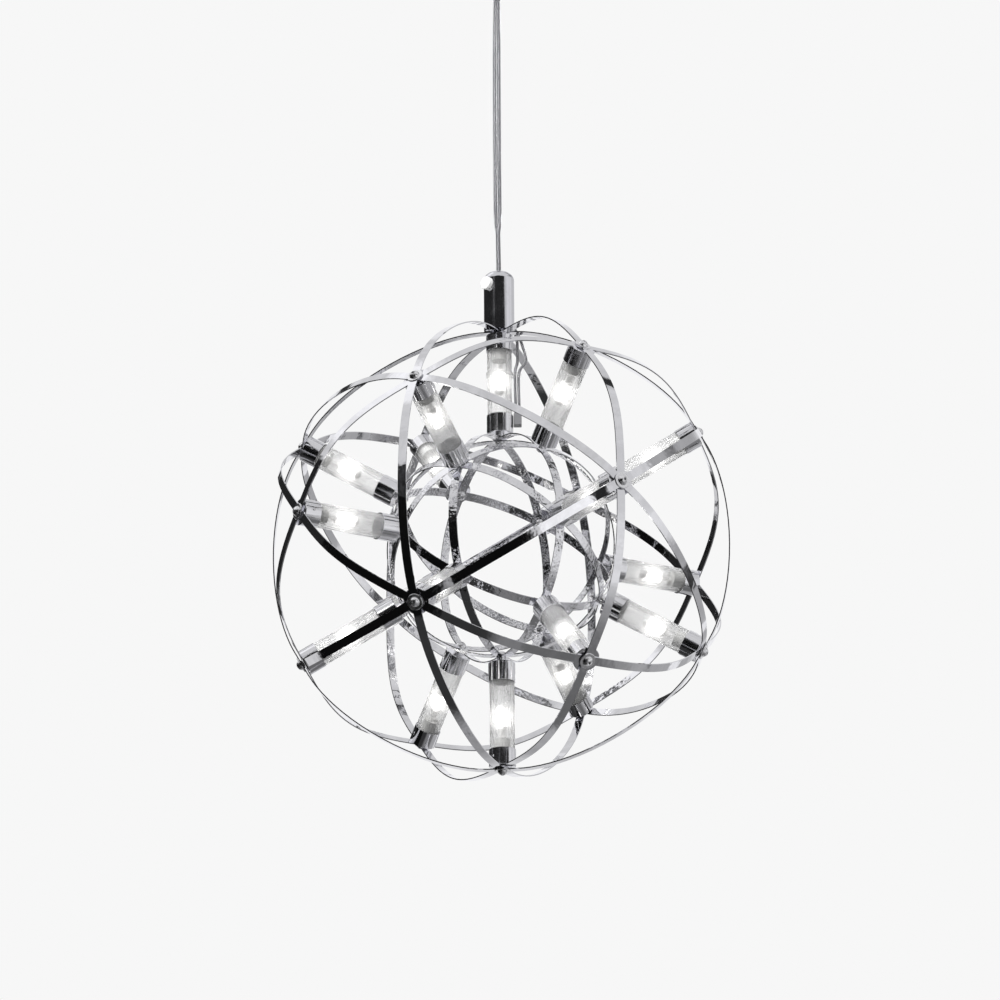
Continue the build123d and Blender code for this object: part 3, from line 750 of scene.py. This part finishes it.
def lead_route(side, slack):
    """The control points of one lead, from inside the stem to the terminal."""
    across = at_turn(side * LEAD_PITCH / 2, LEAD_EXIT_TURN + 90, 0)
    beside = at_turn(-side * LEAD_PITCH / 2, LEAD_TIE_TURN, 0)
    return [
        at_turn(LEAD_RISE_R, LEAD_EXIT_TURN, STEM_FOOT_Z + LEAD_INSIDE) + across,
        at_turn(LEAD_RISE_R, LEAD_EXIT_TURN, STEM_FOOT_Z + 13 * MM) + across,
        at_turn(LEAD_RISE_R + 10 * MM, LEAD_EXIT_TURN, STEM_FOOT_Z + 1 * MM) + across,
        at_turn(slack, LEAD_EXIT_TURN - 14, LEAD_BEND_Z - 14 * MM) + across,
        at_turn(slack, LEAD_TIE_TURN + 4, TIE_Z + 12 * MM) + beside,
        at_turn(TIE_LEAD_R, LEAD_TIE_TURN, TIE_Z + 5 * MM) + beside,
        at_turn(TIE_LEAD_R, LEAD_TIE_TURN, TIE_Z - 12 * MM) + beside,
        at_turn(TERMINAL_R, LEAD_TIE_TURN, TERMINAL_TOP_Z + 9 * MM) + beside,
        at_turn(TERMINAL_R, LEAD_TIE_TURN, TERMINAL_TOP_Z) + beside,
    ]


class ORB_OT_run_leads(bpy.types.Operator):
    """Runs the two clear leads from the stem down to the inner sphere, with their strap and terminal"""

    bl_idname = "orb.run_leads"
    bl_label = "Run leads"

    def execute(self, context):
        cord = settings("orb_cord")
        colors = settings("orb_plastic")
        plastic = clear_plastic(
            "Clear lead plastic", cord.plastic, roughness=0.05, ior=1.42, smudge=0.1
        )
        strand = metal_material("Lead strands", cord.metal, roughness=0.45, smudge=0.2, scale=400.0)
        for number, (side, slack, length) in enumerate(LEADS, 1):
            points = lead_route(side, slack)
            lead = route_curve(f"feed_lead_{number}", points, cord.lead)
            core = route_curve(f"feed_lead_core_{number}", points, cord.lead_core)
            add_piece(lead, "orb", plastic)
            add_piece(core, "orb", strand)
            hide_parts("feed_leads")
        strap = clear_plastic("Clear strap", colors.strap, roughness=0.18, ior=1.45, smudge=0.15)
        dress(strap, "lead_tie")
        grey = plastic_material("Grey terminal plastic", colors.terminal, roughness=0.4)
        dress(grey, "feed_terminal")
        return {"FINISHED"}


class ORB_OT_finish_ceiling(bpy.types.Operator):
    """Finishes the canopy, bracket, swivel and transformer at the ceiling"""

    bl_idname = "orb.finish_ceiling"
    bl_label = "Finish ceiling fitting"

    def execute(self, context):
        metal = settings("orb_metal")
        spun = metal_material(
            "Spun chrome", metal.stem, roughness=0.09, smudge=0.1, wave=0.06 * MM, wave_scale=16.0
        )
        nut = metal_material("Dome nut chrome", metal.chrome, roughness=0.1, smudge=0.2, scale=160.0)
        zinc = metal_material(
            "Zinc plated steel", metal.zinc, roughness=0.34, smudge=0.3, scale=220.0, wave=0.02 * MM
        )
        case = plastic_material(
            "White moulded plastic", settings("orb_plastic").transformer, roughness=0.4
        )
        dress(spun, "canopy", "swivel_seat", "swivel_ball")
        dress(nut, "canopy_nuts", "swivel_pin")
        dress(zinc, "ceiling_bracket", "canopy_fixings", "seat_nut")
        dress(case, "transformer")
        return {"FINISHED"}


# ---- stage ----------------------------------------------------------------------------------
def turn_from_camera(degrees):
    """A compass direction in radians, given in degrees from the camera's side towards its right."""
    return settings("orb_stage").camera_azimuth + math.radians(degrees)


COOL = 1.02  # blue to red and green, in a card's tone


def card(tree, view, behind, azimuth, elevation, half_width, half_height, tone, soft):
    """A flat card round the stage, by its direction from the camera's side in degrees: what the
    metal mirrors there is the tone, and elsewhere what is behind."""
    turn, rise = turn_from_camera(azimuth), math.radians(elevation)
    centre = (math.cos(turn) * math.cos(rise), math.sin(turn) * math.cos(rise), math.sin(rise))
    across = (-math.sin(turn), math.cos(turn), 0.0)
    upward = tuple(Vector(centre).cross(Vector(across)))

    def along(axis):
        return vector_calc(tree, "DOT_PRODUCT", view, axis)["Value"]

    depth = calc(tree, "MAXIMUM", along(centre), 0.01)
    mask = smooth(tree, depth, 0.02, 0.05)  # keeps the card on its own side of the stage
    for axis, half in ((across, half_width), (upward, half_height)):
        far = calc(tree, "ABSOLUTE", calc(tree, "DIVIDE", along(axis), depth))
        reach = math.tan(math.radians(half))
        inside = smooth(tree, far, reach * (1 - soft), reach * (1 + soft), 1.0, 0.0)
        mask = calc(tree, "MULTIPLY", mask, inside)
    return blend(tree, mask, behind, (tone, tone, tone * COOL, 1.0))


# What stands round the stage, each laid over the ones before it: azimuth and elevation of its
# middle from the camera's side, half its width and height in degrees, its tone, and its softness.
STUDIO_CARDS = (
    (118, 0, 50, 45, 0.42, 0.1),  # pale wall on the right
    (-100, -60, 50, 28, 0.035, 0.3),  # dark floor on the left
    (150, -50, 30, 25, 0.42, 0.3),  # paler floor at the back right
    (85, -63, 50, 10, 0.15, 0.3),  # dark floor in front
    (180, 19, 24, 30, 0.95, 0.3),  # backdrop behind the chandelier
    (-78, -8, 57, 34, 0.004, 0.05),  # black flag on the left
    (-6, -8, 19, 33, 0.004, 0.05),  # black flag in front
    (2, 19, 42, 9, 0.018, 0.1),  # black flag above the camera
    (-64, 19.5, 25, 5, 0.016, 0.1),  # black flag above, on the left
    (-122, 19, 32, 9, 0.018, 0.1),  # black flag at the back left
    (85, 19, 31, 10, 0.72, 0.1),  # pale band of wall on the right
    (135, 19, 24, 10, 0.6, 0.1),  # its darker end
    (82, 3, 14, 7, 0.8, 0.3),  # softbox under it
    (29, -2, 13, 10, 1.05, 0.12),  # white softbox beside the camera
    (49.5, 12, 6, 9, 0.02, 0.2),  # its dark edge
    (62, -6, 8, 20, 0.8, 0.2),  # second softbox
    (-95, 52, 16, 16, 1.05, 0.2),  # white softbox high on the left
    (-47.6, 19.5, 1.8, 5, 0.045, 0.5),  # narrow grey strip between two flags
    (78, -18, 3, 18, 0.03, 0.3),  # narrow flag, which draws a line down turned pieces, as the next do
    (112, -16, 4, 18, 0.03, 0.3),  # narrow flag on the right
    (140, -14, 4, 18, 0.9, 0.3),  # narrow white strip at the back right
    (112, 50, 5, 16, 0.03, 0.3),  # narrow flag high on the right
    (-158, 0, 4, 50, 0.03, 0.3),  # tall narrow flag at the back left
)


FLOOR_TONE = (0.2, 0.2, 0.205, 1.0)  # what metal mirrors from below
WALL_TONE = (0.68, 0.68, 0.69, 1.0)


def studio_world(stage):
    """What surrounds the stage: pale to the camera and through glass, an even soft light on matt
    surfaces, and grey walls with dark and white cards in the metal's reflections."""
    world = bpy.data.worlds.new("Studio surroundings")
    world.use_nodes = True
    bpy.context.scene.world = world
    tree = world.node_tree
    tree.nodes.clear()
    view = put(tree, "ShaderNodeTexCoord").outputs["Generated"]
    height = put(tree, "ShaderNodeSeparateXYZ", {0: view}).outputs["Z"]
    low = smooth(tree, height, -0.85, -0.35, 0.0, 1.0)
    tone = blend(tree, low, FLOOR_TONE, WALL_TONE)
    for place in STUDIO_CARDS:
        tone = card(tree, view, tone, *place)
    cloud = noise(tree, view, 9.0, 3.0, 0.6)
    shade = smooth(tree, cloud, 0.3, 0.7, 0.9, 1.06)
    tone = vector_calc(tree, "MULTIPLY", tone, shade)["Vector"]
    rays = put(tree, "ShaderNodeLightPath").outputs
    seen = calc(tree, "MAXIMUM", rays["Is Camera Ray"], rays["Is Transmission Ray"])
    lighting = blend(tree, rays["Is Glossy Ray"], rgba([stage.fill] * 3), tone)
    shown = blend(tree, seen, lighting, rgba(stage.backdrop))
    background = put(tree, "ShaderNodeBackground", {"Color": shown, "Strength": 1.0})
    output = tree.nodes.new("ShaderNodeOutputWorld")
    tree.links.new(background.outputs[0], output.inputs["Surface"])


def set_camera(stage):
    """Puts the camera where the photograph was taken from."""
    azimuth, rise = stage.camera_azimuth, stage.camera_rise
    back = Vector((math.cos(azimuth) * math.cos(rise), math.sin(azimuth) * math.cos(rise), -math.sin(rise)))
    right = Vector((-math.sin(azimuth), math.cos(azimuth), 0.0))
    upward = back.cross(right)
    place = ORB_CENTRE + back * stage.camera_distance
    place = place + upward * stage.sphere_drop - right * stage.sphere_right
    data = bpy.data.cameras.new("Camera")
    data.sensor_width = 36.0  # millimetres
    data.lens = stage.focal_length
    data.clip_end = 100.0
    camera = bpy.data.objects.new("Camera", data)
    bpy.context.scene.collection.objects.link(camera)
    turned = Matrix((right, upward, back)).transposed().to_4x4()
    camera.matrix_world = Matrix.Translation(place) @ turned @ Matrix.Rotation(stage.camera_roll, 4, "Z")
    bpy.context.scene.camera = camera


class ORB_OT_set_stage(bpy.types.Operator):
    """Lays the pale floor and sets the lights, the surroundings and the camera"""

    bl_idname = "orb.set_stage"
    bl_label = "Set studio stage"

    def execute(self, context):
        stage = settings("orb_stage")
        bpy.ops.object.select_all(action="DESELECT")
        bpy.ops.mesh.primitive_plane_add(size=stage.floor_size, location=(0, 0, -stage.floor_depth))
        floor = context.object
        floor.name = "studio_floor"
        pale, tree, shader, place = start_material("Pale floor")
        cloud = noise(tree, place, 3.0, 3.0, 0.5)
        tree.links.new(tinted(tree, cloud, stage.backdrop, 0.99), shader.inputs["Base Color"])
        shader.inputs["Roughness"].default_value = 0.9
        shader.inputs["Specular IOR Level"].default_value = 0.1
        pictured = put(tree, "ShaderNodeLightPath").outputs["Is Camera Ray"]
        tree.links.new(pictured, shader.inputs["Emission Color"])
        shader.inputs["Emission Strength"].default_value = stage.floor_lift
        floor.data.materials.append(pale)
        floor.visible_glossy = False

        lamp = bpy.data.lights.new("Key light", "AREA")
        lamp.shape = "DISK"
        lamp.size = 2.2
        lamp.energy = stage.key
        key = bpy.data.objects.new("Key light", lamp)
        context.scene.collection.objects.link(key)
        key.location = (1.2, -2.0, 1.6)
        aim = ORB_CENTRE - Vector(key.location)
        key.rotation_euler = aim.to_track_quat("-Z", "Y").to_euler()
        key.visible_camera = False
        key.visible_glossy = False
        studio_world(stage)
        set_camera(stage)
        scene = context.scene
        scene.view_settings.view_transform = "Standard"
        scene.cycles.max_bounces = 32
        scene.cycles.transmission_bounces = 32
        scene.cycles.glossy_bounces = 8
        scene.cycles.transparent_max_bounces = 32
        scene.cycles.caustics_reflective = False
        scene.cycles.caustics_refractive = False
        return {"FINISHED"}


OPERATORS = (
    ORB_OT_hang_cord,
    ORB_OT_run_leads,
    ORB_OT_finish_bands,
    ORB_OT_finish_fittings,
    ORB_OT_finish_stem,
    ORB_OT_finish_tubes,
    ORB_OT_finish_lamps,
    ORB_OT_finish_ceiling,
    ORB_OT_set_stage,
)


class ORB_PT_chandelier(bpy.types.Panel):
    """Lists the chandelier's pieces, finishes and stage"""

    bl_label = "Orb chandelier"
    bl_idname = "ORB_PT_chandelier"
    bl_space_type = "VIEW_3D"
    bl_region_type = "UI"
    bl_category = "Orb chandelier"

    def draw(self, context):
        layout = self.layout
        for name, group in SETTINGS.items():
            box = layout.box()
            for key in group.__annotations__:
                box.prop(getattr(context.scene, name), key)
        for operator in OPERATORS:
            layout.operator(operator.bl_idname)


def register():
    for cls in (*SETTINGS.values(), *OPERATORS, ORB_PT_chandelier):
        bpy.utils.register_class(cls)
    for name, group in SETTINGS.items():
        setattr(bpy.types.Scene, name, PointerProperty(type=group))


def unregister():
    for name in SETTINGS:
        delattr(bpy.types.Scene, name)
    for cls in reversed((*SETTINGS.values(), *OPERATORS, ORB_PT_chandelier)):
        bpy.utils.unregister_class(cls)


def main():
    register()
    for operator in OPERATORS:
        area, name = operator.bl_idname.split(".")
        getattr(getattr(bpy.ops, area), name)()


if __name__ == "__main__":
    main()
